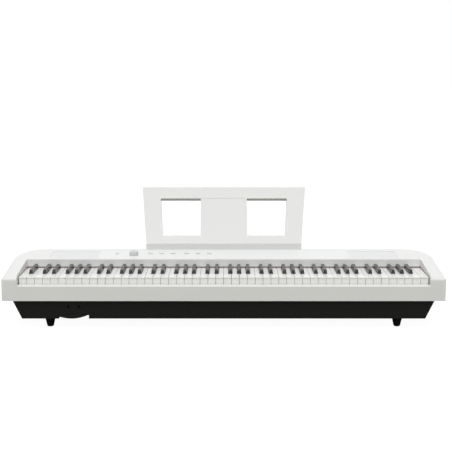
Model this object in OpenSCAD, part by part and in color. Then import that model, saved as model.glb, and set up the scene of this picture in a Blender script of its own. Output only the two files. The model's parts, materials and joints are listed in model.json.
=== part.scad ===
// Portable slab digital piano with 88 weighted keys and a lift-off music rest.
// Millimetres. +Z up, the player sits at -Y, +X runs to the treble end.
// The origin is on the floor, under the middle of the bounding box.

/* [Case] */
// Overall width across the widest part of the white case
case_w = 1319; // [1300:1:1340]
// Depth of the case from the front lip to the rear edge
case_d = 298; // [290:1:310]
// Height of the white key tops above the floor
key_top_z = 154; // [150:1:160]
// Height of the deck's rear edge above the white key tops
deck_rise = 39; // [36:1:44]
// Height of the white front band
band_h = 46; // [42:1:48]
// Height of the black lower chassis
chassis_h = 57.5; // [54:0.5:60]
// Wall of the white case
wall = 4; // [3.5:0.5:5]
// Wall of the black chassis
chassis_wall = 3; // [2.5:0.5:4]

/* [Keyboard] */
// Centre distance of the white keys
key_pitch = 23.5; // [23.2:0.1:23.5]
// Visible length of a white key
key_len = 147; // [144:1:150]
// Distance from a white key's front to a black key's front
black_set = 53; // [50:1:56]
// Height of the black keys above the white keys
black_rise = 12; // [10:0.5:13]
// Gap between neighbouring keys
key_gap = 1.0; // [0.8:0.1:1.2]
// How far a white key's top reaches out over its front wall
key_nose = 1.3; // [0.8:0.1:1.6]
// Distance from the key fronts to the key pivot
pivot_y = 205; // [200:1:208]

/* [Music rest] */
// Width of the music rest along its ledge
rest_w_low = 499; // [480:1:520]
// Width of the music rest along its top edge
rest_w_top = 536; // [500:1:550]
// Length of the rest's panel, from the ledge to the top edge
rest_len = 196; // [185:1:205]
// Lean of the rest's panel from upright, in degrees
rest_lean = 30; // [25:1:35]

/* [Controls] */
// Diameter of the volume knob
knob_d = 28; // [24:1:30]
// Height of the volume knob
knob_h = 12; // [10:1:20]
// Length of a function button's cap
button_l = 15; // [12:1:16]
// Width of a function button's cap
button_w = 7; // [6:0.5:8]
// How far a button goes in
button_travel = 1.2; // [0.8:0.1:1.4]

/* [Feet and stand] */
// Distance between the feet across the width
foot_span = 1046; // [1000:1:1080]
// Distance between the stand inserts across the width
insert_span_x = 960; // [900:1:1000]
// Distance between the stand inserts from front to back
insert_span_y = 120; // [110:1:124]

/* [Hidden] */
$fn = 48;

// Colours
WHITE = [0.93, 0.93, 0.92];
GLOSS_WHITE = [0.96, 0.96, 0.95];
BLACK = [0.08, 0.08, 0.08];
GREEN = [0.05, 0.35, 0.18];
STEEL = [0.7, 0.7, 0.72];
RED = [0.6, 0.08, 0.1];
FELT = [0.35, 0.35, 0.35];
BRASS = [0.8, 0.65, 0.3];

// A shape is drawn with y = 0 at the fronts of the white keys, then set in the frame.
lip_out = 22;
case_front = -lip_out;
case_back = case_front + case_d;
half_w = case_w / 2;
case_low = key_top_z - 67;
band_top = case_low + band_h;
chassis_low = case_low - chassis_h;

// The deck is one plane that rises to the back: height d_z(y), slope deck_a.
nose_in = 25;
nose_z = key_top_z + 10;
back_in = 14;
deck_back = case_back - back_in;
deck_front = key_len + 1;
slope = (key_top_z + deck_rise - nose_z) / (deck_back - (case_front + nose_in));
deck_a = atan(slope);
function d_z(y) = nose_z + slope * (y - case_front - nose_in);

// Music rest, measured from the front bottom edge of its ledge
rest_y = deck_back - 6;
ledge_h = 18;
ledge_d = 20;
rest_t = 3;
rest_rim = 20;
rest_edge = 6;
rest_back = rest_y + ledge_d + rest_len * sin(rest_lean) + rest_edge * cos(rest_lean);
shift_y = -(case_front + rest_back) / 2;
module placed() { translate([0, shift_y, 0]) children(); }

// Places children on the deck at x, y, with their z along the deck's normal.
module on_deck(x, y, drop = 0) {
    translate([x, y, d_z(y)]) rotate([deck_a, 0, 0]) translate([0, 0, -drop]) children();
}

// Keyboard layout: n is the semitone in its octave, o is the octave, -1 for the two lowest
left_x = -26 * key_pitch;
unit_low = 3 * key_pitch / 5;
unit_high = 4 * key_pitch / 7;
WHITE_OF = [0, 0, 1, 1, 2, 3, 3, 4, 4, 5, 5, 6];
function is_black(n) = n == 1 || n == 3 || n == 6 || n == 8 || n == 10;
function octave_x(o) = left_x + (2 + 7 * o) * key_pitch;
function slot_x(n) = n < 5 ? (n + 0.5) * unit_low : 3 * key_pitch + (n - 4.5) * unit_high;
function octaves(n) = n == 0 ? [0:7] : n >= 9 ? [-1:6] : [0:6];

black_w = 11.4;
black_top_w = 9.2;
black_back = key_len - 2;
slot_half = black_w / 2 + key_gap;
key_wall = 2;
key_h = 20;
skirt_h = 28;
nose_t = 2.6;
stem_w = 9;
stem_low = key_top_z - 18;
stem_h = 12;
pivot_z = stem_low + stem_h / 2;
rod_r = 2;
run_fit = 0.05;
key_low = key_top_z - key_h;
tab_y = 68.5;
tab_t = 3;
tab_w = 7;
tab_low = 92;

// Hammer geometry, side view
axle_y = 100;
axle_z = 80;
hub_r = 7;
hammer_w = 5;
arm_top = tab_low - 0.5;
arm_front = 64;
weight_y = 190;
weight_back = 215;
weight_low = 44;
weight_top = 66;

// Opening over the keys
open_half = 26 * key_pitch + 2.5;
lip_back = -2.5;
lip_slope = 2.2;

// The case's rounded shoulder, between its widest line and the deck
shoulder_in = 15.5;
front_low_z = key_top_z - 7;
back_low_z = key_top_z + deck_rise - 20;
corner_r = 96;
shoulder_h = 20;
plate_over = 0.6;

// Rounded plan outline; the rear corners have the radius r, the front ones a small radius
module outline(hw, y0, y1, r, rf) {
    union() {
        translate([-hw, y0 + rf]) square([2 * hw, y1 - y0 - rf - r]);
        translate([-hw + rf, y0]) square([2 * (hw - rf), y1 - y0 - r]);
        translate([-hw + r, y0 + rf]) square([2 * (hw - r), y1 - y0 - rf]);
        for (s = [-1, 1]) {
            translate([s * (hw - rf), y0 + rf]) circle(rf);
            translate([s * (hw - r), y1 - r]) circle(r);
        }
    }
}

// The case's outer form: its plan, a side view with the rounded nose, and the deck's plate
module case_form() {
    nose = [for (a = [0:18:90]) [case_front + nose_in * (1 - cos(a)),
        front_low_z + (nose_z - front_low_z) * sin(a)]];
    intersection() {
        linear_extrude(300) outline(half_w, case_front, case_back, corner_r, 8);
        side_view(concat([[case_front, case_low]], nose, [[case_back + 30, nose_z + 90],
            [case_back + 30, case_low]]), half_w + 5);
        deck_plate();
    }
}

// Half section of the deck's plate, with its rounded shoulder at radius r
module shoulder(r) {
    polygon(concat([[0, -140], [r, -140]],
        [for (a = [0:18:90]) [r - shoulder_in * (1 - cos(a)), -shoulder_h * (1 - sin(a))]], [[0, 0]]));
}

// A thick plate under the deck plane: rounded shoulders at both ends, at the back and round
// the rear corners
module deck_plate() {
    hw = half_w + plate_over;
    r = corner_r + plate_over;
    back = case_back * cos(deck_a) + (back_low_z - d_z(0)) * sin(deck_a) + plate_over;
    on_deck(0, 0) {
        for (s = [0, 1]) mirror([s, 0, 0]) {
            translate([0, back - r, 0]) rotate([90, 0, 0]) linear_extrude(back - r + 60) shoulder(hw);
            translate([hw - r, back - r, 0]) rotate_extrude(angle = 90, $fn = 96) shoulder(r);
            translate([0, back - r, 0]) rotate([90, 0, 90]) linear_extrude(hw - r) shoulder(r);
        }
    }
}

// A side view, points in y and z, across the whole width
module side_view(points, hw) {
    translate([-hw, 0, 0]) rotate([90, 0, 90]) linear_extrude(2 * hw) polygon(points);
}

// The case's cavity: a wide part up to the shoulder and a narrower one up to the deck
module case_cavity() {
    low = case_low + wall;
    y0 = case_front + wall;
    y1 = case_back - wall;
    y2 = case_front + nose_in;
    intersection() {
        side_view([[y0, low], [y0, front_low_z - wall], [y1, back_low_z - wall], [y1, low]], half_w);
        linear_extrude(300) outline(half_w - wall, y0, y1, corner_r - wall, 6);
    }
    intersection() {
        side_view([[y2, low + 20], [y2, d_z(y2) - wall], [deck_back, d_z(deck_back) - wall],
            [deck_back, low + 20]], half_w);
        linear_extrude(300)
            outline(half_w - shoulder_in - 1, y2, deck_back - 1, corner_r - back_in - 1, 6);
    }
}

module box(x0, x1, y0, y1, z0, z1) {
    translate([x0, y0, z0]) cube([x1 - x0, y1 - y0, z1 - z0]);
}

// A slab with round ends, long along x, standing on z = 0
module stadium(l, w, h) {
    translate([-(l - w) / 2, -w / 2, 0]) cube([l - w, w, h]);
    for (s = [-1, 1]) translate([s * (l - w) / 2, 0, 0]) cylinder(d = w, h = h);
}

// Lower chassis: outer form or cavity, with sloping ends and a sloping front
chassis_half_top = half_w - 30.5;
chassis_half_low = half_w - 56.5;
chassis_back = case_back - 14;
module chassis_form(t) {
    z0 = chassis_low + t;
    z1 = case_low + (t > 0 ? 1 : 0);
    intersection() {
        translate([0, 400, 0]) rotate([90, 0, 0]) linear_extrude(800)
            polygon([[-chassis_half_low + t, z0], [chassis_half_low - t, z0],
                [chassis_half_top - t, z1], [-chassis_half_top + t, z1]]);
        translate([-700, 0, 0]) rotate([90, 0, 90]) linear_extrude(1400)
            polygon([[-6 + t, z0], [chassis_back - t, z0], [chassis_back - t, z1], [-12 + t, z1]]);
        linear_extrude(200)
            outline(chassis_half_top - t, -12 + t, chassis_back - t, 84 - t, 3);
    }
}

// Places of the case screws, feet and stand inserts
SCREW_X = [-560, -300, 0, 300, 560];
screw_front = -1;
screw_rear = 250;
FOOT_Y = [22, 232];
insert_mid = 130;
module at_screws() { for (x = SCREW_X, y = [screw_front, screw_rear]) translate([x, y, 0]) children(); }
module at_feet() { for (s = [-1, 1], y = FOOT_Y) translate([s * foot_span / 2, y, 0]) children(); }
module at_inserts() {
    for (s = [-1, 1], q = [-1, 1])
        translate([s * insert_span_x / 2, insert_mid + q * insert_span_y / 2, chassis_low]) children();
}
boss_h = 49;
insert_l = 8.5;

// Headphone unit at the front left, and the sockets at the rear
phone_x = -448;
phone_w = 88;
phone_z = 67;
phone_top = 80;
bulge_dx = 7;
PHONE_DX = [-15.5, 15.5];
plug_r = 3.25;
jack_r = 5;
socket_z = 62;
dc_x = 260;
usb_x = 220;
JACK_X = [180, 155, 130];
socket_in = chassis_back - 22;

module bottom_chassis() color(BLACK) placed() {
    floor_z = chassis_low + chassis_wall;
    difference() {
        union() {
            difference() {
                chassis_form(0);
                chassis_form(chassis_wall);
            }
            at_screws() translate([0, 0, floor_z - 0.5]) cylinder(r = 6, h = case_low - floor_z + 0.5);
            at_inserts() cylinder(r = 7, h = insert_l);
            // feet stand on thick pads
            at_feet() translate([0, 0, chassis_low]) cylinder(r = 16, h = 6);
        }
        at_screws() {
            translate([0, 0, chassis_low - 1]) cylinder(r = 4.2, h = boss_h + 1);
            translate([0, 0, chassis_low]) cylinder(r = 2.2, h = 100);
        }
        at_inserts() translate([0, 0, -1]) cylinder(r = 4, h = insert_l + 2);
        at_feet() translate([0, 0, chassis_low - 1]) cylinder(r = 2.1, h = 20);
        // notch under the headphone unit
        box(phone_x - phone_w / 2 - 1, phone_x + phone_w / 2 + 1, -30, 40, chassis_low - 1,
            chassis_low + 11);
        for (dx = PHONE_DX) translate([phone_x + dx, 10, phone_z]) rotate([90, 0, 0])
            cylinder(r = jack_r + 0.3, h = 40);
        // socket holes in the rear wall
        for (x = concat(JACK_X, [dc_x])) translate([x, chassis_back + 5, socket_z]) rotate([90, 0, 0])
            cylinder(r = jack_r + 1.3, h = 15);
        box(usb_x - 7, usb_x + 7, chassis_back - 10, chassis_back + 5, socket_z - 6.5, socket_z + 6.5);
    }
}

// The deck's openings: control panel in the middle, a speaker grille on each side
panel_half = 390;
panel_y0 = 157;
panel_y1 = deck_back - 26;
panel_mid = (panel_y0 + panel_y1) / 2;
panel_l = (panel_y1 - panel_y0) / cos(deck_a);
panel_t = 2.5;
grille_in = 393;
grille_out = 545;
grille_x = (grille_in + grille_out) / 2;
tab_x = 180;
tab_long = 32;
tab_thick = 4;
tab_deep = 12;
rest_tab_y = rest_y + 10;

module top_case() color(WHITE) placed() {
    difference() {
        case_form();
        difference() {
            case_cavity();
            // walls of the key well
            for (s = [-1, 1]) translate([s * (open_half + 1.5), 0, 0])
                box(-1.5, 1.5, -30, deck_front + 3, 0, 300);
            box(-open_half, open_half, deck_front, deck_front + 3, key_top_z + 3.5, 300);
            box(-open_half, open_half, -30, lip_back, band_top - 6, band_top + 3);
            box(-open_half, open_half, lip_back - 3, lip_back, 100, band_top + 3);
            // screw ears on the bottom flange
            for (x = SCREW_X) {
                box(x - 6, x + 6, -12, screw_front, case_low, case_low + 9);
                box(x - 6, x + 6, screw_rear, chassis_back, case_low, case_low + 9);
            }
            at_screws() translate([0, 0, case_low]) cylinder(r = 6, h = 9);
        }
        // opening for the chassis, around the screw ears
        difference() {
            translate([0, 0, case_low - 1]) linear_extrude(wall + 2)
                outline(chassis_half_top - 7, -8, chassis_back - 4, 76, 2);
            for (x = SCREW_X) {
                box(x - 6, x + 6, -12, screw_front, 0, 200);
                box(x - 6, x + 6, screw_rear, chassis_back, 0, 200);
            }
            at_screws() cylinder(r = 6, h = 200);
        }
        at_screws() translate([0, 0, case_low - 1]) cylinder(r = 2.05, h = 9);
        // well over the keys, and the lip in front of them
        box(-open_half, open_half, lip_back, deck_front, band_top - 20, 300);
        translate([-open_half, 0, 0]) rotate([90, 0, 90]) linear_extrude(2 * open_half)
            polygon([[-40, 300], [-40, band_top - lip_slope], [case_front, band_top - lip_slope],
                [lip_back, band_top], [0, band_top], [0, 300]]);
        box(-open_half, open_half, deck_front - 1, deck_front + 4, band_top - 20, key_top_z + 3.5);
        // recesses for the panel and the grilles, each with a ledge
        on_deck(0, panel_mid) {
            translate([-panel_half - 0.2, -panel_l / 2 - 0.2, -panel_t])
                cube([2 * panel_half + 0.4, panel_l + 0.4, 10]);
            translate([-panel_half + 6, -panel_l / 2 + 6, -20])
                cube([2 * panel_half - 12, panel_l - 12, 30]);
        }
        for (s = [-1, 1]) on_deck(s * grille_x, panel_mid) {
            translate([-(grille_out - grille_in) / 2 - 0.2, -panel_l / 2 - 0.2, -panel_t])
                cube([grille_out - grille_in + 0.4, panel_l + 0.4, 10]);
            translate([-(grille_out - grille_in) / 2 + 6, -panel_l / 2 + 6, -20])
                cube([grille_out - grille_in - 12, panel_l - 12, 30]);
        }
        // slots for the music rest's two tabs
        for (s = [-1, 1])
            box(s * tab_x - tab_long / 2 - 0.4, s * tab_x + tab_long / 2 + 0.4,
                rest_tab_y - 0.4, rest_tab_y + tab_thick + 0.4, 150, 300);
    }
}

// Controls along the panel
knob_x = -284.5;
knob_y = 198;
power_x = -338;
light_x = -322;
control_y = 209;
power_d = 11;
BUTTON_X = [-232, -197, -161, -118, -82, -46.5];
board_drop = 12;
board_t = 1.6;

module control_panel() color(GLOSS_WHITE) placed() {
    difference() {
        on_deck(0, panel_mid, panel_t) translate([-panel_half, -panel_l / 2, 0])
            cube([2 * panel_half, panel_l, panel_t]);
        on_deck(knob_x, knob_y, 10) cylinder(r = 4.5, h = 20);
        on_deck(power_x, control_y, 10) cylinder(d = power_d + 0.6, h = 20);
        on_deck(light_x, control_y, 10) cylinder(r = 1.55, h = 20);
        for (x = BUTTON_X) on_deck(x, control_y, 10) stadium(button_l + 0.6, button_w + 0.6, 20);
    }
}

slot_rows = 12;
module speaker_grilles() color(WHITE) placed() {
    w = grille_out - grille_in;
    for (s = [-1, 1]) difference() {
        on_deck(s * grille_x, panel_mid, panel_t) translate([-w / 2, -panel_l / 2, 0])
            cube([w, panel_l, panel_t]);
        for (i = [0:slot_rows - 1]) on_deck(s * grille_x, panel_mid, 10)
            translate([-w / 2 + 9, (i - (slot_rows - 1) / 2) * (panel_l - 14) / slot_rows - 1.4, 0])
                cube([w - 18, 2.8, 20]);
    }
}

module key_felt_strip() color(RED) placed()
    box(-open_half + 1, open_half - 1, deck_front, deck_front + 3, key_top_z + 1.2, key_top_z + 3.5);

// Frame that carries the pivot rod, the hammer axle and the key guides
frame_half = 26 * key_pitch - 3;
rail_low = chassis_low + chassis_wall;
guide_top = key_low + 4;
plate_z = key_top_z - 35.6;
RIB_X = concat([left_x + 4], [for (o = [0:7]) octave_x(o)], [-left_x - 4]);
module rib(x) {
    // the end ribs stay clear of the chassis's sloping ends and rear corners
    low = abs(x) > 590 ? 52 : rail_low;
    rear = abs(x) > 590 ? 223 : 235;
    translate([x - 1, 0, 0]) rotate([90, 0, 90]) linear_extrude(2)
        polygon([[46, low], [46, plate_z], [152, plate_z], [192, plate_z], [197, pivot_z + 6],
            [213, pivot_z + 6], [222, plate_z], [rear, low]]);
}
module key_frame() color(FELT) placed() {
    difference() {
        union() {
            for (x = RIB_X) rib(x);
            box(-590, 590, 44, 62, rail_low, rail_low + 3);
            box(-frame_half, frame_half, 44, 47, 52, plate_z + 3);
            box(-590, 590, 44, 47, rail_low, 60);
            box(-frame_half, frame_half, 6, 47, plate_z, plate_z + 3);
            box(-590, 590, 205, 235, rail_low, rail_low + 5);
            box(-frame_half, frame_half, 206, 224, 100, 103);
            for (n = [0:11]) if (!is_black(n)) for (o = octaves(n))
                translate([octave_x(o) + (WHITE_OF[n] + 0.5) * key_pitch, 25, plate_z])
                    translate([-3, -3, 0]) cube([6, 6, guide_top - plate_z]);
        }
        translate([-700, pivot_y, pivot_z]) rotate([0, 90, 0]) cylinder(r = rod_r + 0.02, h = 1400);
        translate([-700, axle_y, axle_z]) rotate([0, 90, 0]) cylinder(r = rod_r + 0.02, h = 1400);
        // room for the pads that the feet stand on
        at_feet() cylinder(r = 17, h = 50);
    }
}

module rod(y, z) translate([-frame_half, y, z]) rotate([0, 90, 0]) cylinder(r = rod_r, h = 2 * frame_half);
module key_pivot_rod() color(STEEL) placed() rod(pivot_y, pivot_z);
module hammer_axle() color(STEEL) placed() rod(axle_y, axle_z);

SENSOR_Y = [119, 149];
module sensor_board() color(GREEN) placed()
    box(-frame_half, frame_half, SENSOR_Y[0], SENSOR_Y[1], plate_z, plate_z + board_t);

dome_y = 134;
module sensor_rubber_strip() color(FELT) placed() {
    z = plate_z + board_t;
    box(-frame_half + 2, frame_half - 2, dome_y - 7, dome_y + 7, z, z + 2);
    for (n = [0:11], o = octaves(n)) translate([octave_x(o) + slot_x(n), dome_y, z])
        cylinder(r1 = 4.5, r2 = 3, h = 9, $fn = 16);
}

// Felts: under the keys' fronts, and above and below the hammers' tails between the ribs
module action_felts() color(RED) placed() difference() {
    union() {
        box(-frame_half + 2, frame_half - 2, 8, 18, plate_z + 3, plate_z + 5.8);
        box(-588, 588, 206, 214, rail_low + 5, weight_low - 0.4);
        box(-frame_half + 6, frame_half - 6, 207, 217, 96.4, 100);
    }
    for (x = RIB_X) box(x - 1.4, x + 1.4, 200, 230, rail_low, 110);
}

// Circuit boards
module main_board() color(GREEN) placed()
    box(-300, -60, 240, 240 + board_t, rail_low + 2, 112);
BOARD = [-350, -20, 182, 224];
module panel_board() color(GREEN) placed() {
    w = BOARD[1] - BOARD[0];
    y = (BOARD[2] + BOARD[3]) / 2;
    on_deck((BOARD[0] + BOARD[1]) / 2, y, board_drop + board_t)
        translate([-w / 2, (BOARD[2] - BOARD[3]) / 2, 0]) cube([w, BOARD[3] - BOARD[2], board_t]);
}
switch_h = 4.4;
module panel_switches() color(BLACK) placed()
    for (x = concat([power_x], BUTTON_X)) on_deck(x, control_y, board_drop) {
        translate([-3, -3, 0]) cube([6, 6, switch_h - 1]);
        cylinder(r = 1.7, h = switch_h);
    }
pot_h = 5;
module volume_pot() color(STEEL) placed() on_deck(knob_x, knob_y, board_drop) difference() {
    union() {
        translate([-8, -8, 0]) cube([16, 16, pot_h]);
        cylinder(r = 3.9, h = pot_h + 3);
    }
    translate([0, 0, 0.6]) cylinder(r = 3 + run_fit, h = 20);
}

module jack_board() color(GREEN) placed()
    box(110, 285, socket_in - board_t, socket_in, socket_z - 16, socket_z + 16);

// Sockets: a body on the board, and a round mouth through the rear wall
module jack_socket(x, r, bore) {
    translate([x, chassis_back + 1, socket_z]) rotate([90, 0, 0]) difference() {
        union() {
            cylinder(r = r, h = 10);
            translate([-8, -8, 5]) cube([16, 16, chassis_back - 4 - socket_in]);
        }
        translate([0, 0, -1]) cylinder(r = bore, h = 19);
    }
}
module dc_inlet() color(BLACK) placed() {
    jack_socket(dc_x, jack_r, 2.8);
    translate([dc_x, chassis_back - 3, socket_z]) rotate([90, 0, 0]) cylinder(r = 1, h = 15.5);
}
module rear_sockets() color(BLACK) placed() {
    for (x = JACK_X) jack_socket(x, jack_r + 1, plug_r);
    translate([usb_x, chassis_back + 1, socket_z]) rotate([90, 0, 0]) difference() {
        translate([-6.5, -6, 0]) cube([13, 12, chassis_back + 1 - socket_in]);
        translate([-4.3, -4, -1]) cube([8.6, 8, 14]);
    }
}

// Headphone unit: housing with a bulging underside, and two jacks in it
module headphone_housing() color(BLACK) placed() {
    difference() {
        intersection() {
            box(phone_x - phone_w / 2, phone_x + phone_w / 2, -8.5, 36, chassis_low + 0.5, phone_top);
            translate([phone_x - bulge_dx, 60, chassis_low + 117.5]) rotate([90, 0, 0])
                cylinder(r = 117, h = 100, $fn = 160);
        }
        // clear of the chassis floor and front wall above the notch
        box(phone_x - phone_w / 2 - 2, phone_x + phone_w / 2 + 2, -20, -3.5, chassis_low + 10.9, 200);
        for (dx = PHONE_DX) translate([phone_x + dx, 40, phone_z]) rotate([90, 0, 0])
            cylinder(r = jack_r + 0.05, h = 60);
    }
}
module headphone_jacks() color(STEEL) placed()
    for (dx = PHONE_DX) translate([phone_x + dx, -10.5, phone_z]) rotate([-90, 0, 0]) difference() {
        cylinder(r = jack_r, h = 34);
        translate([0, 0, -1]) cylinder(r = plug_r, h = 31);
    }

// Speakers, hung under the grilles
spk_l = 128;
spk_w = 62;
cone_l = 108;
cone_w = 44;
spk_drop = panel_t + 3.5;
module at_speakers(drop) { for (s = [-1, 1]) on_deck(s * grille_x, panel_mid, drop) children(); }
module speaker_frames() color(BLACK) placed() at_speakers(spk_drop + 2) difference() {
    union() {
        stadium(spk_l, spk_w, 2);
        translate([0, 0, -11]) stadium(cone_l + 4, cone_w + 4, 11.5);
    }
    translate([0, 0, -9]) stadium(cone_l, cone_w, 20);
}
module speaker_cones() color(FELT) placed() at_speakers(spk_drop + 11) {
    stadium(cone_l - 0.6, cone_w - 0.6, 1);
    translate([0, 0, 1]) cylinder(r1 = 14, r2 = 11, h = 3);
}
module speaker_magnets() color(STEEL) placed() at_speakers(spk_drop + 21) cylinder(r = 20, h = 8);

// Rubber peg feet
foot_top_r = 15.5;
foot_low_r = 10.5;
module rubber_feet() color(BLACK) placed() at_feet() rotate_extrude() difference() {
    union() {
        translate([0, chassis_low - 3]) square([foot_top_r + 2, 3]);
        polygon([[0, 5], [foot_low_r, 5], [foot_top_r, chassis_low - 3], [0, chassis_low - 3]]);
        square([foot_low_r - 4.5, 6]);
        intersection() {
            translate([foot_low_r - 4.5, 4.5]) circle(4.5);
            square([20, 5.01]);
        }
    }
    square([3.9, chassis_low - 12]);
    square([2.1, chassis_low + 1]);
}

// Case screws and foot screws
module screw(head_z, l) {
    translate([0, 0, head_z - 2.6]) cylinder(r = 3.6, h = 2.6);
    translate([0, 0, head_z - 0.1]) cylinder(r = 2, h = l);
}
module screws() color(STEEL) placed() {
    at_screws() screw(chassis_low + boss_h, case_low + 7 - chassis_low - boss_h);
    at_feet() screw(chassis_low - 12, 17);
}

module stand_inserts() color(BRASS) placed() at_inserts() difference() {
    cylinder(r = 4, h = insert_l);
    translate([0, 0, -1]) cylinder(r = 2.5, h = insert_l + 2);
}

module power_light() color("limegreen") placed() on_deck(light_x, control_y, board_drop) {
    cylinder(r = 1.5, h = board_drop + 0.3);
}

// Music rest: a ledge with a curved inside, and a leaning panel with two windows
win_in = 75.5;
win_out_top = 207;
win_out_low = 198.5;
win_low = 26;
win_top = 156;
function rest_half(v) = (rest_w_low + (rest_w_top - rest_w_low) * v / rest_len) / 2;
module rest_outline(o) {
    polygon([[-rest_half(0) + o, -14 + o], [rest_half(0) - o, -14 + o],
        [rest_half(rest_len) - o, rest_len - o], [-rest_half(rest_len) + o, rest_len - o]]);
}
module rest_window(s, o) {
    polygon([[s * (win_in - o), win_low - o], [s * (win_out_low + o), win_low - o],
        [s * (win_out_top + o), win_top + o], [s * (win_in - o), win_top + o]]);
}
// Places children on the leaning panel: x across, y up the panel, z to the player
module on_rest() {
    translate([0, rest_y + ledge_d, d_z(rest_y + ledge_d) + 14]) rotate([90 - rest_lean, 0, 0])
        children();
}
module music_rest() color(WHITE) placed() {
    base_z = d_z(rest_y) + 0.2;
    difference() {
        union() {
            on_rest() {
                linear_extrude(rest_t) rest_outline(0);
                translate([0, 0, -rest_edge]) linear_extrude(rest_edge + 0.1) difference() {
                    rest_outline(0);
                    rest_outline(3);
                }
                for (s = [-1, 1]) translate([0, 0, -rest_rim + rest_t])
                    linear_extrude(rest_rim - rest_t + 0.1) rest_window(s, 2.5);
            }
            // ledge, hollow underneath
            difference() {
                translate([-rest_half(0), 0, 0]) rotate([90, 0, 90]) linear_extrude(2 * rest_half(0))
                    difference() {
                        translate([rest_y, base_z - 10]) square([ledge_d + 8, ledge_h + 16]);
                        translate([rest_y + 6 + 17, base_z + ledge_h + 14]) circle(r = 19, $fn = 96);
                        translate([rest_y - 5, base_z + ledge_h]) square([16, 20]);
                        translate([rest_y + ledge_d + 6, base_z + 12]) rotate(60)
                            translate([-30, -40]) square([80, 40]);
                    }
                translate([-rest_half(0) + 3, 0, 0]) rotate([90, 0, 90])
                    linear_extrude(2 * rest_half(0) - 6)
                        translate([rest_y + 3, base_z - 20]) square([ledge_d - 4, 20 + 9]);
            }
            for (s = [-1, 1])
                box(s * tab_x - tab_long / 2, s * tab_x + tab_long / 2, rest_tab_y,
                    rest_tab_y + tab_thick, d_z(rest_y) - tab_deep, base_z + 11);
        }
        for (s = [-1, 1]) on_rest() translate([0, 0, -40]) linear_extrude(80) rest_window(s, 0);
        // slightly sunk middle field of the panel
        on_rest() translate([-win_in + 5, win_low - 4, rest_t - 0.8])
            cube([2 * win_in - 10, win_top - win_low + 5, 5]);
        // underside lies on the deck, except for the tabs
        difference() {
            on_deck(0, rest_y, 60) translate([-400, -40, 0]) cube([800, 200, 60.2]);
            for (s = [-1, 1])
                box(s * tab_x - tab_long / 2, s * tab_x + tab_long / 2, rest_tab_y,
                    rest_tab_y + tab_thick, 100, 300);
        }
    }
}

module volume_knob() color(WHITE) placed() on_deck(knob_x, knob_y) {
    difference() {
        translate([0, 0, 0.6]) cylinder(d = knob_d, h = knob_h);
        translate([-0.8, 4, knob_h - 0.2]) cube([1.6, 9, 5]);
    }
    translate([0, 0, 1 - board_drop]) cylinder(r = 3, h = board_drop);
}

// A button: cap above the panel, flange below it, and a plunger over its switch
flange_t = 1;
cap_up = 1.6;
module button_stem(h) {
    translate([0, 0, -panel_t - 0.2 - flange_t - h]) cylinder(r = 2, h = h + 0.1);
}
stem_l = board_drop - switch_h - panel_t - 0.2 - flange_t - button_travel - 0.3;
module power_button() color(GLOSS_WHITE) placed() on_deck(power_x, control_y) {
    translate([0, 0, -panel_t - 0.3]) cylinder(d = power_d, h = panel_t + 0.3 + cap_up);
    translate([0, 0, -panel_t - 0.2 - flange_t]) cylinder(d = power_d + 3, h = flange_t);
    button_stem(stem_l);
}
module function_button(i) color(GLOSS_WHITE) placed() on_deck(BUTTON_X[i], control_y) {
    translate([0, 0, -panel_t - 0.3]) stadium(button_l, button_w, panel_t + 0.3 + cap_up);
    translate([0, 0, -panel_t - 0.2 - flange_t]) stadium(button_l + 3, button_w + 3, flange_t);
    button_stem(stem_l);
}

// White key of semitone n in octave o: head, tail between the black keys, stem to the pivot
module white_key(n, o) {
    x0 = octave_x(o) + WHITE_OF[n] * key_pitch + key_gap / 2;
    x1 = x0 + key_pitch - key_gap;
    xs = octave_x(o) + slot_x(n);
    cut_l = n != 0 && is_black(n - 1) && !(n == 9 && o == -1);
    cut_r = n < 11 && is_black(n + 1) && !(n == 0 && o == 7);
    t0 = cut_l ? octave_x(o) + slot_x(n - 1) + slot_half : x0;
    t1 = cut_r ? octave_x(o) + slot_x(n + 1) - slot_half : x1;
    head = black_set - key_gap;
    difference() {
        union() {
            box(x0, x1, 0, head, key_top_z - nose_t, key_top_z);
            box(x0, x1, key_nose, head, key_low, key_top_z - 1);
            box(x0, x1, key_nose, key_nose + key_wall, key_top_z - skirt_h, key_low + 1);
            box(t0, t1, head - 1, key_len + 4, key_low, key_top_z);
        }
        box(x0 + key_wall, x1 - key_wall, key_nose + key_wall, head - key_wall, 0, key_top_z - 3);
        box(t0 + key_wall, t1 - key_wall, head - key_wall - 1, key_len + 1, 0, key_top_z - 3);
    }
    key_stem(xs);
}
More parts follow.
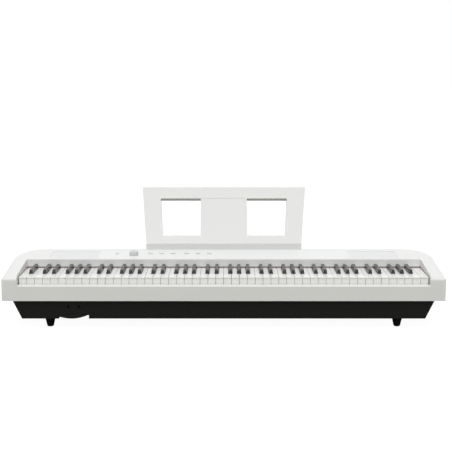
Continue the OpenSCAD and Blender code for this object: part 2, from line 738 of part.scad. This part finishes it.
// The stem to the pivot rod, and the tab that presses on the hammer
module key_stem(xs) {
    difference() {
        union() {
            box(xs - stem_w / 2, xs + stem_w / 2, key_len + 2, pivot_y, stem_low, stem_low + stem_h);
            translate([xs - stem_w / 2, pivot_y, pivot_z]) rotate([0, 90, 0])
                cylinder(d = stem_h, h = stem_w);
        }
        translate([xs - stem_w, pivot_y, pivot_z]) rotate([0, 90, 0])
            cylinder(r = rod_r + run_fit, h = 2 * stem_w);
    }
    box(xs - tab_w / 2, xs + tab_w / 2, tab_y, tab_y + tab_t, tab_low, key_top_z - 2);
}
module black_key(n, o) {
    xs = octave_x(o) + slot_x(n);
    top = key_top_z + black_rise;
    difference() {
        intersection() {
            translate([xs, black_back, 0]) rotate([90, 0, 0]) linear_extrude(black_back)
                polygon([[-black_w / 2, key_low], [black_w / 2, key_low],
                    [black_w / 2, key_top_z + 1], [black_top_w / 2, top], [-black_top_w / 2, top],
                    [-black_w / 2, key_top_z + 1]]);
            translate([xs - 10, 0, 0]) rotate([90, 0, 90]) linear_extrude(20)
                polygon([[black_set, key_low], [black_set, key_top_z + 1], [black_set + 5, top],
                    [black_back, top], [black_back, key_low]]);
        }
        box(xs - black_w / 2 + key_wall, xs + black_w / 2 - key_wall, black_set + key_wall,
            black_back - key_wall, 0, key_top_z - 3);
    }
    box(xs - stem_w / 2, xs + stem_w / 2, black_back - 1, key_len + 3, stem_low, key_top_z - 1);
    key_stem(xs);
}
module key_class(n)
    color(is_black(n) ? BLACK : WHITE) placed()
        for (o = octaves(n)) if (is_black(n)) black_key(n, o); else white_key(n, o);

// Hammer: front arm under the key's tab, hub on the axle, weighted rear arm
module hammer(x) {
    translate([x - hammer_w / 2, 0, 0]) rotate([90, 0, 90]) linear_extrude(hammer_w) difference() {
        union() {
            polygon([[arm_front, arm_top - 5], [arm_front, arm_top], [axle_y - 12, arm_top],
                [axle_y + 3, axle_z + 5], [weight_y, weight_top - 3], [weight_y, weight_top],
                [weight_back, weight_top], [weight_back, weight_low], [weight_y, weight_low],
                [weight_y, weight_top - 13], [axle_y, axle_z - 6], [axle_y - 16, arm_top - 6]]);
            translate([axle_y, axle_z]) circle(hub_r);
        }
        translate([axle_y, axle_z]) circle(rod_r + run_fit);
    }
}
module hammer_class(n)
    color(STEEL) placed() for (o = octaves(n)) hammer(octave_x(o) + slot_x(n));

bottom_chassis();
top_case();
control_panel();
speaker_grilles();
key_felt_strip();
key_frame();
key_pivot_rod();
hammer_axle();
sensor_board();
sensor_rubber_strip();
action_felts();
main_board();
panel_board();
panel_switches();
volume_pot();
jack_board();
dc_inlet();
rear_sockets();
headphone_housing();
headphone_jacks();
speaker_frames();
speaker_cones();
speaker_magnets();
rubber_feet();
screws();
stand_inserts();
power_light();
music_rest();
volume_knob();
power_button();
function_button(0);  // button_1
function_button(1);  // button_2
function_button(2);  // button_3
function_button(3);  // button_4
function_button(4);  // button_5
function_button(5);  // button_6
key_class(0);  // keys_c
key_class(1);  // keys_c_sharp
key_class(2);  // keys_d
key_class(3);  // keys_d_sharp
key_class(4);  // keys_e
key_class(5);  // keys_f
key_class(6);  // keys_f_sharp
key_class(7);  // keys_g
key_class(8);  // keys_g_sharp
key_class(9);  // keys_a
key_class(10);  // keys_a_sharp
key_class(11);  // keys_b
hammer_class(0);  // hammers_c
hammer_class(1);  // hammers_c_sharp
hammer_class(2);  // hammers_d
hammer_class(3);  // hammers_d_sharp
hammer_class(4);  // hammers_e
hammer_class(5);  // hammers_f
hammer_class(6);  // hammers_f_sharp
hammer_class(7);  // hammers_g
hammer_class(8);  // hammers_g_sharp
hammer_class(9);  // hammers_a
hammer_class(10);  // hammers_a_sharp
hammer_class(11);  // hammers_b
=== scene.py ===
# %% [markdown]
# A slab digital piano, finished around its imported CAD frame.
# The frame brings every part at its real place and size. This script gives each part
# its finish, and remakes the parts whose edges or surfaces need more than the CAD holds.

# %% Load the frame
import json
import math
import random
import bmesh
import bpy
from mathutils import Matrix, Vector


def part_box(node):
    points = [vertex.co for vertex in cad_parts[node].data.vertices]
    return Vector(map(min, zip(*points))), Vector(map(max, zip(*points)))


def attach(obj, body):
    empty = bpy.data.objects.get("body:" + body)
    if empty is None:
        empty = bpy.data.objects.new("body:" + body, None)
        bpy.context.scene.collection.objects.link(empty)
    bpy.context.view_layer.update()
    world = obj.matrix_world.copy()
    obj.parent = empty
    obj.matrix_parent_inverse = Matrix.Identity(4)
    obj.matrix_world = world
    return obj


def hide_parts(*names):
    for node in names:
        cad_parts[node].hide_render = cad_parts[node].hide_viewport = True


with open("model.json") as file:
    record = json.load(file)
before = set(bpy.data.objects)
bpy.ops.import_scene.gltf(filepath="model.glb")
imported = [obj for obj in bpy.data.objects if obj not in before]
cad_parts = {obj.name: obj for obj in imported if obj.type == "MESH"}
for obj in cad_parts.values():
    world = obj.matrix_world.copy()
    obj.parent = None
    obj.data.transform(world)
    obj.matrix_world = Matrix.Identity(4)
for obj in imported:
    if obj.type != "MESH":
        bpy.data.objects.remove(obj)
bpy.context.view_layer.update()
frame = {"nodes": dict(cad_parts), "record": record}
MM = 0.001
NOTES = ["c", "c_sharp", "d", "d_sharp", "e", "f", "f_sharp", "g", "g_sharp", "a", "a_sharp", "b"]

# %% [markdown]
# The camera stands where a listener would, a little above the keys and three metres off,
# with a long lens, so the keyboard keeps nearly parallel sides. It looks a little down. Its
# place is measured from the front of the C keys, so it follows the piano if that moves.

# %% Camera
ASIDE = 7 * MM
AWAY = 3005 * MM
ABOVE = 631 * MM
LOOK_DOWN = math.radians(9)
key_lo, key_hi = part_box("keys_c")
eye = Vector((ASIDE, key_lo.y - AWAY, key_hi.z + ABOVE))
camera = bpy.data.objects.new("camera", bpy.data.cameras.new("camera"))
bpy.context.scene.collection.objects.link(camera)
camera.location = eye
camera.rotation_euler = (math.radians(90) - LOOK_DOWN, 0, 0)
camera.data.sensor_width = 36
camera.data.lens = 82
camera.data.clip_end = 100
bpy.context.scene.camera = camera
print("camera at", [round(v, 3) for v in eye])

# %% [markdown]
# Soft studio light. The world is a gradient: brighter behind the piano, as a lit white
# background is, and dimmer at the listener's side, so that faces turned to the front are a
# shade darker than the tops. Everything but the camera is lit by that gradient, and the
# camera itself sees plain white, so the background stays clean.

# %% World light
FRONT_SKY = 0.54
BACK_SKY = 0.9
scene = bpy.context.scene
scene.view_settings.view_transform = "Standard"
world = bpy.data.worlds.new("studio")
scene.world = world
world.use_nodes = True
wn, wl = world.node_tree.nodes, world.node_tree.links
wn.clear()
place, axes = wn.new("ShaderNodeTexCoord"), wn.new("ShaderNodeSeparateXYZ")
fade = wn.new("ShaderNodeMapRange")
for socket, value in (("From Min", -0.6), ("From Max", 0.9), ("To Min", FRONT_SKY),
                      ("To Max", BACK_SKY)):
    fade.inputs[socket].default_value = value
seen, light = wn.new("ShaderNodeBackground"), wn.new("ShaderNodeBackground")
path, both = wn.new("ShaderNodeLightPath"), wn.new("ShaderNodeMixShader")
sky = wn.new("ShaderNodeOutputWorld")
wl.new(place.outputs["Generated"], axes.inputs[0])
wl.new(axes.outputs["Y"], fade.inputs["Value"])
wl.new(fade.outputs["Result"], light.inputs["Strength"])
wl.new(path.outputs["Is Camera Ray"], both.inputs[0])
wl.new(light.outputs[0], both.inputs[1])
wl.new(seen.outputs[0], both.inputs[2])
wl.new(both.outputs[0], sky.inputs["Surface"])
for node in (seen, light):
    node.inputs["Color"].default_value = (1, 1, 1, 1)
print("sky from", FRONT_SKY, "to", BACK_SKY)

# %% [markdown]
# The main light of a studio is a softbox above and in front. A sun lamp with a wide disc
# does the same, and costs nothing to aim: its shadows soften with distance, and it lights
# the tops of the keys more than their fronts.

# %% Softbox
SOFTBOX_STRENGTH = 0.55
SOFTBOX_WIDTH = math.radians(32)
SOFTBOX_LEAN = math.radians(33)
SOFTBOX_ASIDE = math.radians(-2)
sun = bpy.data.objects.new("softbox", bpy.data.lights.new("softbox", "SUN"))
scene.collection.objects.link(sun)
sun.data.energy = SOFTBOX_STRENGTH * math.pi
sun.data.angle = SOFTBOX_WIDTH
sun.rotation_euler = (SOFTBOX_LEAN, SOFTBOX_ASIDE, 0)
print("softbox", round(sun.data.energy, 2))

# %% [markdown]
# The floor is a white sweep. Seen by the camera it nearly glows, which keeps it white and
# leaves only a faint shadow. Toward the piano it is an ordinary warm grey card, so that the
# front of the case isn't lit too strongly from below. It lies a hair under the feet.

# %% Floor
FLOOR_HALF = 30
FLOOR_DROP = 0.5 * MM
CARD_GREY = (0.33, 0.33, 0.28, 1)
GLOW_GREY = (0.09, 0.09, 0.09, 1)
GLOW_STRENGTH = 0.96
bm = bmesh.new()
bmesh.ops.create_grid(bm, x_segments=1, y_segments=1, size=FLOOR_HALF)
floor_mesh = bpy.data.meshes.new("floor")
bm.to_mesh(floor_mesh)
bm.free()
floor = bpy.data.objects.new("floor", floor_mesh)
scene.collection.objects.link(floor)
floor.location.z = -FLOOR_DROP
floor_paint = bpy.data.materials.new("floor_paint")
floor_paint.use_nodes = True
fn, link = floor_paint.node_tree.nodes, floor_paint.node_tree.links.new
fn.clear()
card, glow = fn.new("ShaderNodeBsdfPrincipled"), fn.new("ShaderNodeBsdfPrincipled")
card.inputs["Base Color"].default_value = CARD_GREY
glow.inputs["Base Color"].default_value = GLOW_GREY
glow.inputs["Emission Color"].default_value = (1, 1, 1, 1)
glow.inputs["Emission Strength"].default_value = GLOW_STRENGTH
for shader in (card, glow):
    shader.inputs["Roughness"].default_value = 1.0
    shader.inputs["Specular IOR Level"].default_value = 0.0
path, both = fn.new("ShaderNodeLightPath"), fn.new("ShaderNodeMixShader")
out = fn.new("ShaderNodeOutputMaterial")
link(path.outputs["Is Camera Ray"], both.inputs[0])
link(card.outputs[0], both.inputs[1])
link(glow.outputs[0], both.inputs[2])
link(both.outputs[0], out.inputs["Surface"])
floor.data.materials.append(floor_paint)
print("floor at", floor.location.z)

# %% [markdown]
# Moulded parts are never quite flat or even: the tool's grain shows as a fine bump, and
# handling leaves faint broad patches that are more or less shiny. Both effects are one
# shader group, so that every material can carry them with its own scale and strength.

# %% Shared surface group
def surface_group():
    group = bpy.data.node_groups.new("moulded_surface", "ShaderNodeTree")
    face = group.interface
    for name, kind, value in (
        ("Color", "NodeSocketColor", (1, 1, 1, 1)), ("Grain Size", "NodeSocketFloat", 900.0),
        ("Grain", "NodeSocketFloat", 0.1), ("Roughness", "NodeSocketFloat", 0.3),
        ("Roughness Change", "NodeSocketFloat", 0.05), ("Tone Change", "NodeSocketFloat", 0.02),
        ("Depth", "NodeSocketFloat", 0.0001),
    ):
        socket = face.new_socket(name, in_out="INPUT", socket_type=kind)
        socket.default_value = value
    for name, kind in (("Color", "NodeSocketColor"), ("Roughness", "NodeSocketFloat"),
                       ("Normal", "NodeSocketVector")):
        face.new_socket(name, in_out="OUTPUT", socket_type=kind)
    n, link = group.nodes, group.links.new
    come, go = n.new("NodeGroupInput"), n.new("NodeGroupOutput")
    place = n.new("ShaderNodeTexCoord")
    fine, broad = n.new("ShaderNodeTexNoise"), n.new("ShaderNodeTexNoise")
    fine.inputs["Detail"].default_value = 3
    broad.inputs["Scale"].default_value = 9
    broad.inputs["Detail"].default_value = 4
    link(place.outputs["Object"], fine.inputs["Vector"])
    link(place.outputs["Object"], broad.inputs["Vector"])
    link(come.outputs["Grain Size"], fine.inputs["Scale"])
    bump = n.new("ShaderNodeBump")
    link(come.outputs["Grain"], bump.inputs["Strength"])
    link(come.outputs["Depth"], bump.inputs["Distance"])
    link(fine.outputs["Fac"], bump.inputs["Height"])
    centred = n.new("ShaderNodeMath")
    centred.operation = "SUBTRACT"
    centred.inputs[1].default_value = 0.5
    link(broad.outputs["Fac"], centred.inputs[0])
    rough = n.new("ShaderNodeMath")
    rough.operation = "MULTIPLY_ADD"
    link(centred.outputs[0], rough.inputs[0])
    link(come.outputs["Roughness Change"], rough.inputs[1])
    link(come.outputs["Roughness"], rough.inputs[2])
    tone = n.new("ShaderNodeMath")
    tone.operation = "MULTIPLY_ADD"
    tone.inputs[2].default_value = 1.0
    link(centred.outputs[0], tone.inputs[0])
    link(come.outputs["Tone Change"], tone.inputs[1])
    colour = n.new("ShaderNodeVectorMath")
    colour.operation = "SCALE"
    link(come.outputs["Color"], colour.inputs[0])
    link(tone.outputs[0], colour.inputs["Scale"])
    link(colour.outputs[0], go.inputs["Color"])
    link(rough.outputs[0], go.inputs["Roughness"])
    link(bump.outputs[0], go.inputs["Normal"])
    return group


SURFACE = surface_group()
print("group", SURFACE.name, "with", len(SURFACE.nodes), "nodes")


# %% [markdown]
# One helper turns a few plain numbers into a finished material: the colour, the roughness,
# the grain and how metallic it is. Values that are the same all over go on the shader itself.

# %% Material helper
def finish(name, colour, rough=0.35, grain=0.1, grain_size=900.0, depth=0.0001, rough_change=0.06,
           tone_change=0.03, metal=0.0, coat=0.0, specular=0.5, sheen=0.0):
    paint = bpy.data.materials.new(name)
    paint.use_nodes = True
    nodes, link = paint.node_tree.nodes, paint.node_tree.links.new
    shader = nodes["Principled BSDF"]
    group = nodes.new("ShaderNodeGroup")
    group.node_tree = SURFACE
    for socket, value in (("Color", (*colour, 1)), ("Roughness", rough), ("Grain", grain),
                          ("Grain Size", grain_size), ("Roughness Change", rough_change),
                          ("Tone Change", tone_change), ("Depth", depth)):
        group.inputs[socket].default_value = value
    link(group.outputs["Color"], shader.inputs["Base Color"])
    link(group.outputs["Roughness"], shader.inputs["Roughness"])
    link(group.outputs["Normal"], shader.inputs["Normal"])
    shader.inputs["Metallic"].default_value = metal
    shader.inputs["Coat Weight"].default_value = coat
    shader.inputs["Coat Roughness"].default_value = 0.08
    shader.inputs["Specular IOR Level"].default_value = specular
    shader.inputs["Sheen Weight"].default_value = sheen
    return paint


# %% [markdown]
# The finishes. The white case is satin, the panel smoother with a thin clear coat, and the
# keys polished. The underside is a black textured moulding, and the black keys have a satin,
# slightly grained surface that is kinder to fingers than a mirror shine. Each record slot
# gets one finish. The music rest gets a slightly greyer white than the case. This is painted
# shade, which tones down the extra light the rest catches as it leans back. The buttons and
# the knob's pointer are light and dark grey.

# %% Finishes
PAINT = {
    "case_white": finish("case_white", (0.75, 0.75, 0.742), rough=0.42, grain=0.14, depth=0.00005),
    # Painted shade: the rest's white is darker than the case's, to offset the light its backward
    # lean catches.
    "rest_white": finish("rest_white", (0.67, 0.67, 0.66), rough=0.45, grain=0.2, depth=0.00006),
    "panel_white": finish("panel_white", (0.77, 0.785, 0.78), rough=0.4, grain=0.05, coat=0.1,
                          rough_change=0.08),
    "grille_white": finish("grille_white", (0.77, 0.78, 0.785), rough=0.5, grain=0.15),
    "chassis_black": finish("chassis_black", (0.007, 0.007, 0.0065), rough=0.6, grain=0.7,
                            grain_size=800, depth=0.0002, specular=0.26),
    "key_white": finish("key_white", (0.86, 0.86, 0.842), rough=0.22, grain=0.04, coat=0.3,
                        tone_change=0.02),
    "key_black": finish("key_black", (0.013, 0.012, 0.0125), rough=0.27, grain=0.3,
                        grain_size=1600, specular=0.9, rough_change=0.12),
    "felt_red": finish("felt_red", (0.25, 0.1, 0.107), rough=0.95, grain=1.0, grain_size=2500,
                       depth=0.0006, tone_change=0.5, sheen=0.5),
    "frame_grey": finish("frame_grey", (0.2, 0.2, 0.21), rough=0.6, grain=0.3),
    "steel": finish("steel", (0.62, 0.62, 0.64), rough=0.28, grain=0.1, metal=1.0),
    "hammer_iron": finish("hammer_iron", (0.12, 0.12, 0.125), rough=0.5, grain=0.4, metal=0.8),
    "magnet_iron": finish("magnet_iron", (0.4, 0.4, 0.41), rough=0.35, grain=0.2, metal=1.0),
    "board_green": finish("board_green", (0.02, 0.14, 0.06), rough=0.35, grain=0.2, coat=0.3),
    "rubber_grey": finish("rubber_grey", (0.28, 0.28, 0.28), rough=0.75, grain=0.2),
    "rubber_black": finish("rubber_black", (0.004, 0.004, 0.004), rough=0.75, grain=0.5,
                           specular=0.15),
    "socket_black": finish("socket_black", (0.006, 0.006, 0.006), rough=0.5, grain=0.2,
                           specular=0.3),
    "cone_paper": finish("cone_paper", (0.04, 0.04, 0.042), rough=0.9, grain=0.8, grain_size=1800,
                         depth=0.0003),
    "brass": finish("brass", (0.62, 0.46, 0.2), rough=0.3, grain=0.1, metal=1.0),
    "light_lens": finish("light_lens", (0.55, 0.72, 0.58), rough=0.15, grain=0.02, coat=0.5),
    "knob_white": finish("knob_white", (0.62, 0.63, 0.63), rough=0.42, grain=0.12),
    "button_grey": finish("button_grey", (0.55, 0.56, 0.56), rough=0.45, grain=0.1),
    "pointer_grey": finish("pointer_grey", (0.2, 0.2, 0.2), rough=0.5, grain=0.1),
}
SLOT_OF = {s["node"]: s["material_slot"] for s in frame["record"]["subparts"]}
for name, node in frame["nodes"].items():
    node.data.materials.clear()
    node.data.materials.append(PAINT[SLOT_OF[name]])
print("finishes", len(PAINT))


# %% [markdown]
# Every real edge is rounded, and that thin round is what catches the light. The CAD meshes
# have sharp edges, so a visible part is remade: its triangles are copied, merged into whole
# faces, and every edge sharper than a limit gets a small bevel with bmesh's own operator.

# %% Helpers that copy a CAD part and round its edges
MERGE = 0.01 * MM
FLAT = math.radians(0.4)
SHARP = math.radians(28)


def bare_copy(node):
    bm = bmesh.new()
    bm.from_mesh(frame["nodes"][node].data)
    bmesh.ops.remove_doubles(bm, verts=bm.verts, dist=MERGE)
    bmesh.ops.dissolve_limit(bm, angle_limit=FLAT, verts=bm.verts, edges=bm.edges,
                             use_dissolve_boundaries=False)
    return bm


def round_edges(bm, width, segments):
    sharp = [e for e in bm.edges if len(e.link_faces) == 2
             and abs(e.calc_face_angle_signed(0)) > SHARP]
    bmesh.ops.bevel(bm, geom=sharp, offset=width, offset_type="OFFSET", segments=segments,
                    profile=0.5, affect="EDGES", clamp_overlap=True, material=-1,
                    loop_slide=True)
    return len(sharp)


print("points closer than", MERGE, "m are merged")


# %% [markdown]
# A finished mesh becomes a piece: it is given its normals, its material and the body it rides,
# and the CAD node that it stands for is hidden. Each corner's normal is a mean over the faces
# that meet there at a small angle, weighted by their size. So a large flat face is shaded flat
# right up to its rounded edge.

# %% Helpers that keep a finished piece
def weighted_normals(bm, smooth):
    bm.normal_update()
    bm.faces.index_update()
    area = [f.calc_area() for f in bm.faces]
    same = math.cos(math.radians(smooth))
    normals = []
    for face in bm.faces:
        for corner in face.loops:
            total = Vector((0, 0, 0))
            for other in corner.vert.link_faces:
                if other.normal.dot(face.normal) > same:
                    total += other.normal * area[other.index]
            normals.append(total.normalized() if total.length > 0 else face.normal.copy())
    return normals


def keep_piece(bm, name, body, slot, stands_for=(), smooth=35, paint=None):
    mesh = bpy.data.meshes.new(name)
    normals = weighted_normals(bm, smooth)
    bm.to_mesh(mesh)
    bm.free()
    mesh.shade_smooth()
    mesh.set_sharp_from_angle(angle=math.radians(smooth))
    mesh.normals_split_custom_set(normals)
    piece = bpy.data.objects.new(name, mesh)
    scene.collection.objects.link(piece)
    mesh.materials.append(PAINT[paint or slot])
    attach(piece, body)
    if stands_for:
        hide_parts(*stands_for)
    return piece


def rounded_part(node, body, width, segments=2, paint=None):
    bm = bare_copy(node)
    count = round_edges(bm, width * MM, segments)
    piece = keep_piece(bm, node + "_finished", body, SLOT_OF[node], (node,), paint=paint)
    print(node, "edges rounded", count, "faces", len(piece.data.polygons))


# %% [markdown]
# The shells: the white case, the black underside, the panel, the music rest and the unit
# that holds the headphone jacks. Each call gives the part, its body and the width of the
# round in millimetres. The white case's rounds have three steps instead of two, because
# its long edges catch the most light. The thin panel has a small one, and still sits flush.

# %% Shells
rounded_part("top_case", "case", 1.0, segments=3)
rounded_part("bottom_chassis", "case", 1.2)
rounded_part("control_panel", "case", 0.25)
# The rest takes the darker rest_white, which is painted shade for the light its lean catches.
rounded_part("music_rest", "music_rest", 0.7, paint="rest_white")
rounded_part("headphone_housing", "case", 0.8)

# %% [markdown]
# The 88 keys are plastic mouldings. The black ones have a generous round on their upper
# edges, where fingers slide off them, and the white ones only a small one, so that a
# narrow even gap shows between neighbours. Each note name rides its own body.

# %% Keys
WHITE_ROUND = 0.7
BLACK_ROUND = 1.3
for note in NOTES:
    rounded_part("keys_" + note, "keys_" + note, BLACK_ROUND if "sharp" in note else WHITE_ROUND)

# %% [markdown]
# The buttons are small keycaps that stand a little proud of the panel. Their edges are
# softened, because a cap with a sharp edge would be unpleasant to press.

# %% Buttons
for name in ["power_button"] + [f"button_{i}" for i in range(1, 7)]:
    rounded_part(name, name, 0.4, paint="button_grey")

# %% [markdown]
# Rubber feet carry the piano. Sockets are nuts and collars set into the headphone unit and
# the back wall. They are turned or moulded parts with a small chamfer at every rim.

# %% Feet and sockets
for node, width in (("rubber_feet", 0.5), ("headphone_jacks", 0.5), ("rear_sockets", 0.4),
                    ("dc_inlet", 0.4)):
    rounded_part(node, "case", width)

# %% [markdown]
# Everything on the sloping deck is easier to model flat and then lay on it. The volume
# knob's joint turns about the deck's normal, so its axis gives the deck's tilt, and one
# matrix then carries a flat model to its place on the deck.

# %% Deck placement
JOINT = {j["name"]: j for j in frame["record"]["behaviour"]["joints"]}
normal = Vector(JOINT["volume_turn"]["axis"]).normalized()
deck_tilt = math.atan2(-normal.y, normal.z)


def on_deck(place):
    return Matrix.Translation(place) @ Matrix.Rotation(deck_tilt, 4, "X")


print("deck tilt in degrees", round(math.degrees(deck_tilt), 2))

# %% [markdown]
# A speaker grille on a white piano is a plate with hundreds of fine holes. Real holes are
# needed, because a painted pattern looks flat from close by. The plate starts as a grid of
# square cells. Insetting each cell leaves a small square in its middle, bevelling that
# square's corners turns it into an octagon, and deleting it opens the hole. Solidify then
# gives the sheet its thickness, and the walls of the holes with it.

# %% Speaker grilles
grille_lo, grille_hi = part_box("speaker_grilles")
GRILLE_W = 152 * MM
GRILLE_T = 1.6 * MM
CAD_GRILLE_T = 2.5 * MM
HOLE_PITCH = 3.0 * MM
HOLE_HALF = 0.62 * MM
HOLE_CORNER = 0.59 * HOLE_HALF
BORDER = HOLE_PITCH
grille_l = (grille_hi.y - grille_lo.y) / math.cos(deck_tilt) - CAD_GRILLE_T * math.tan(deck_tilt)
across, along = round(GRILLE_W / HOLE_PITCH), round(grille_l / HOLE_PITCH)
bm = bmesh.new()
bmesh.ops.create_grid(bm, x_segments=across, y_segments=along, size=0.5)
bmesh.ops.scale(bm, vec=(GRILLE_W, grille_l, 1), verts=bm.verts)
inner = [f for f in bm.faces if abs(f.calc_center_median().x) < GRILLE_W / 2 - BORDER
         and abs(f.calc_center_median().y) < grille_l / 2 - BORDER]
bmesh.ops.inset_individual(bm, faces=inner, thickness=HOLE_PITCH / 2 - HOLE_HALF,
                           use_even_offset=True)
corners = list({v for f in inner for v in f.verts})
bmesh.ops.bevel(bm, geom=corners, offset=HOLE_CORNER, offset_type="OFFSET", segments=1,
                profile=0.5, affect="VERTICES", clamp_overlap=True, material=-1)
holes = [f for f in bm.faces if len(f.verts) == 8]
bmesh.ops.delete(bm, geom=holes, context="FACES_ONLY")
bmesh.ops.solidify(bm, geom=bm.faces[:], thickness=GRILLE_T)
bmesh.ops.recalc_face_normals(bm, faces=bm.faces)
print("holes in one plate", len(holes))

# %% [markdown]
# The plate is laid on the deck over the left speaker, and a copy of it goes over the right
# one. Both are kept as one piece, because the CAD also has both grilles in one node.

# %% Both grilles in place
left = Vector((grille_lo.x + GRILLE_W / 2, (grille_lo.y + grille_hi.y) / 2,
               (grille_lo.z + grille_hi.z) / 2))
bmesh.ops.transform(bm, matrix=on_deck(left), verts=bm.verts)
twin = bmesh.ops.duplicate(bm, geom=bm.verts[:] + bm.edges[:] + bm.faces[:])["geom"]
step = grille_hi.x - grille_lo.x - GRILLE_W
moved = [v for v in twin if isinstance(v, bmesh.types.BMVert)]
bmesh.ops.translate(bm, vec=(step, 0, 0), verts=moved)
print("faces in both plates", len(bm.faces))
keep_piece(bm, "speaker_grille_plates", "case", "grille_white", ("speaker_grilles",), smooth=40)

# %% [markdown]
# The volume knob is a turned body with fine flutes for grip. Its half profile, from the
# foot of the stem up the wall to the dished top, is spun round the axis in many steps. A
# wave round the wall then draws it in a little at each flute.

# %% Volume knob
pivot = Vector(JOINT["volume_turn"]["pos_m"])
KNOB_R = 14 * MM
KNOB_H = 12.6 * MM
STEM_R = 3 * MM
STEM_LOW = -11 * MM
FLUTES = 36
FLUTE_DEPTH = 0.035
profile = [(0, STEM_LOW), (STEM_R, STEM_LOW), (STEM_R, 0.6 * MM), (KNOB_R - 0.4 * MM, 0.6 * MM),
           (KNOB_R, 1.0 * MM), (KNOB_R, 3 * MM), (KNOB_R - 0.5 * MM, KNOB_H - 2.4 * MM),
           (KNOB_R - 1.3 * MM, KNOB_H - 0.7 * MM), (KNOB_R - 2.6 * MM, KNOB_H),
           (KNOB_R - 5 * MM, KNOB_H - 0.5 * MM), (0, KNOB_H - 0.8 * MM)]
bm = bmesh.new()
line = [bm.verts.new((r, 0, z)) for r, z in profile]
edges = [bm.edges.new(pair) for pair in zip(line, line[1:])]
bmesh.ops.spin(bm, geom=line + edges, cent=(0, 0, 0), axis=(0, 0, 1), angle=2 * math.pi,
               steps=4 * FLUTES, use_merge=True)
bmesh.ops.remove_doubles(bm, verts=bm.verts, dist=MERGE)
for v in bm.verts:
    r = math.hypot(v.co.x, v.co.y)
    if r > KNOB_R - 0.7 * MM and 2 * MM < v.co.z < KNOB_H - 1.5 * MM:
        wave = 0.5 - 0.5 * math.cos(FLUTES * math.atan2(v.co.y, v.co.x))
        narrow = 1 - FLUTE_DEPTH * wave
        bmesh.ops.scale(bm, vec=(narrow, narrow, 1), verts=[v])
bmesh.ops.recalc_face_normals(bm, faces=bm.faces)
bmesh.ops.transform(bm, matrix=on_deck(pivot), verts=bm.verts)
keep_piece(bm, "volume_knob_turned", "volume_knob", "knob_white", ("volume_knob",), smooth=30)
print("knob centre", [round(v, 4) for v in pivot])

# %% [markdown]
# A thin raised bar on the knob's top shows where it points. It starts as a cube scaled to
# the bar's size, and it rides the knob, so it turns with it.

# %% Knob pointer
POINTER_SIZE = Vector((1.3, 8, 1)) * MM
POINTER_ROUND = 0.25 * MM
POINTER_OUT = 5.5 * MM
POINTER_SUNK = 0.7 * MM
bm = bmesh.new()
bmesh.ops.create_cube(bm, size=1)
bmesh.ops.scale(bm, vec=POINTER_SIZE, verts=bm.verts)
round_edges(bm, POINTER_ROUND, 2)
bmesh.ops.translate(bm, vec=(0, POINTER_OUT, KNOB_H - POINTER_SUNK), verts=bm.verts)
bmesh.ops.transform(bm, matrix=on_deck(pivot), verts=bm.verts)
pointer = keep_piece(bm, "volume_pointer", "volume_knob", "socket_black", paint="pointer_grey")
print("pointer faces", len(pointer.data.polygons))

# %% [markdown]
# The red felt behind the keys shows only as a thin line, but it is soft: its top edge is
# round and a little uneven. A long bar is cut into short lengths, and its upper points are
# moved by seeded random amounts, so the result is the same every time.

# %% Key felt
FELT_CUTS = 399
FELT_ROUND = 0.8 * MM
FELT_FUZZ = 0.35 * MM
felt_lo, felt_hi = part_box("key_felt_strip")
bm = bmesh.new()
bmesh.ops.create_cube(bm, size=1)
bmesh.ops.scale(bm, vec=felt_hi - felt_lo, verts=bm.verts)
long_edges = [e for e in bm.edges if abs(e.verts[0].co.x - e.verts[1].co.x) > 1]
bmesh.ops.subdivide_edges(bm, edges=long_edges, cuts=FELT_CUTS, use_grid_fill=True)
ridge = [e for e in bm.edges if all(v.co.z > 0 for v in e.verts)
         and abs(e.verts[0].co.y - e.verts[1].co.y) < 0.1 * MM]
bmesh.ops.bevel(bm, geom=ridge, offset=FELT_ROUND, offset_type="OFFSET", segments=2, profile=0.5,
                affect="EDGES", clamp_overlap=True, material=-1)
fuzz = random.Random(7)
for v in bm.verts:
    if v.co.z > 0:
        v.co.z -= FELT_FUZZ * fuzz.random()
bmesh.ops.translate(bm, vec=(felt_lo + felt_hi) / 2, verts=bm.verts)
keep_piece(bm, "key_felt", "case", "felt_red", ("key_felt_strip",), smooth=70)
print("felt length in mm", round((felt_hi.x - felt_lo.x) / MM))
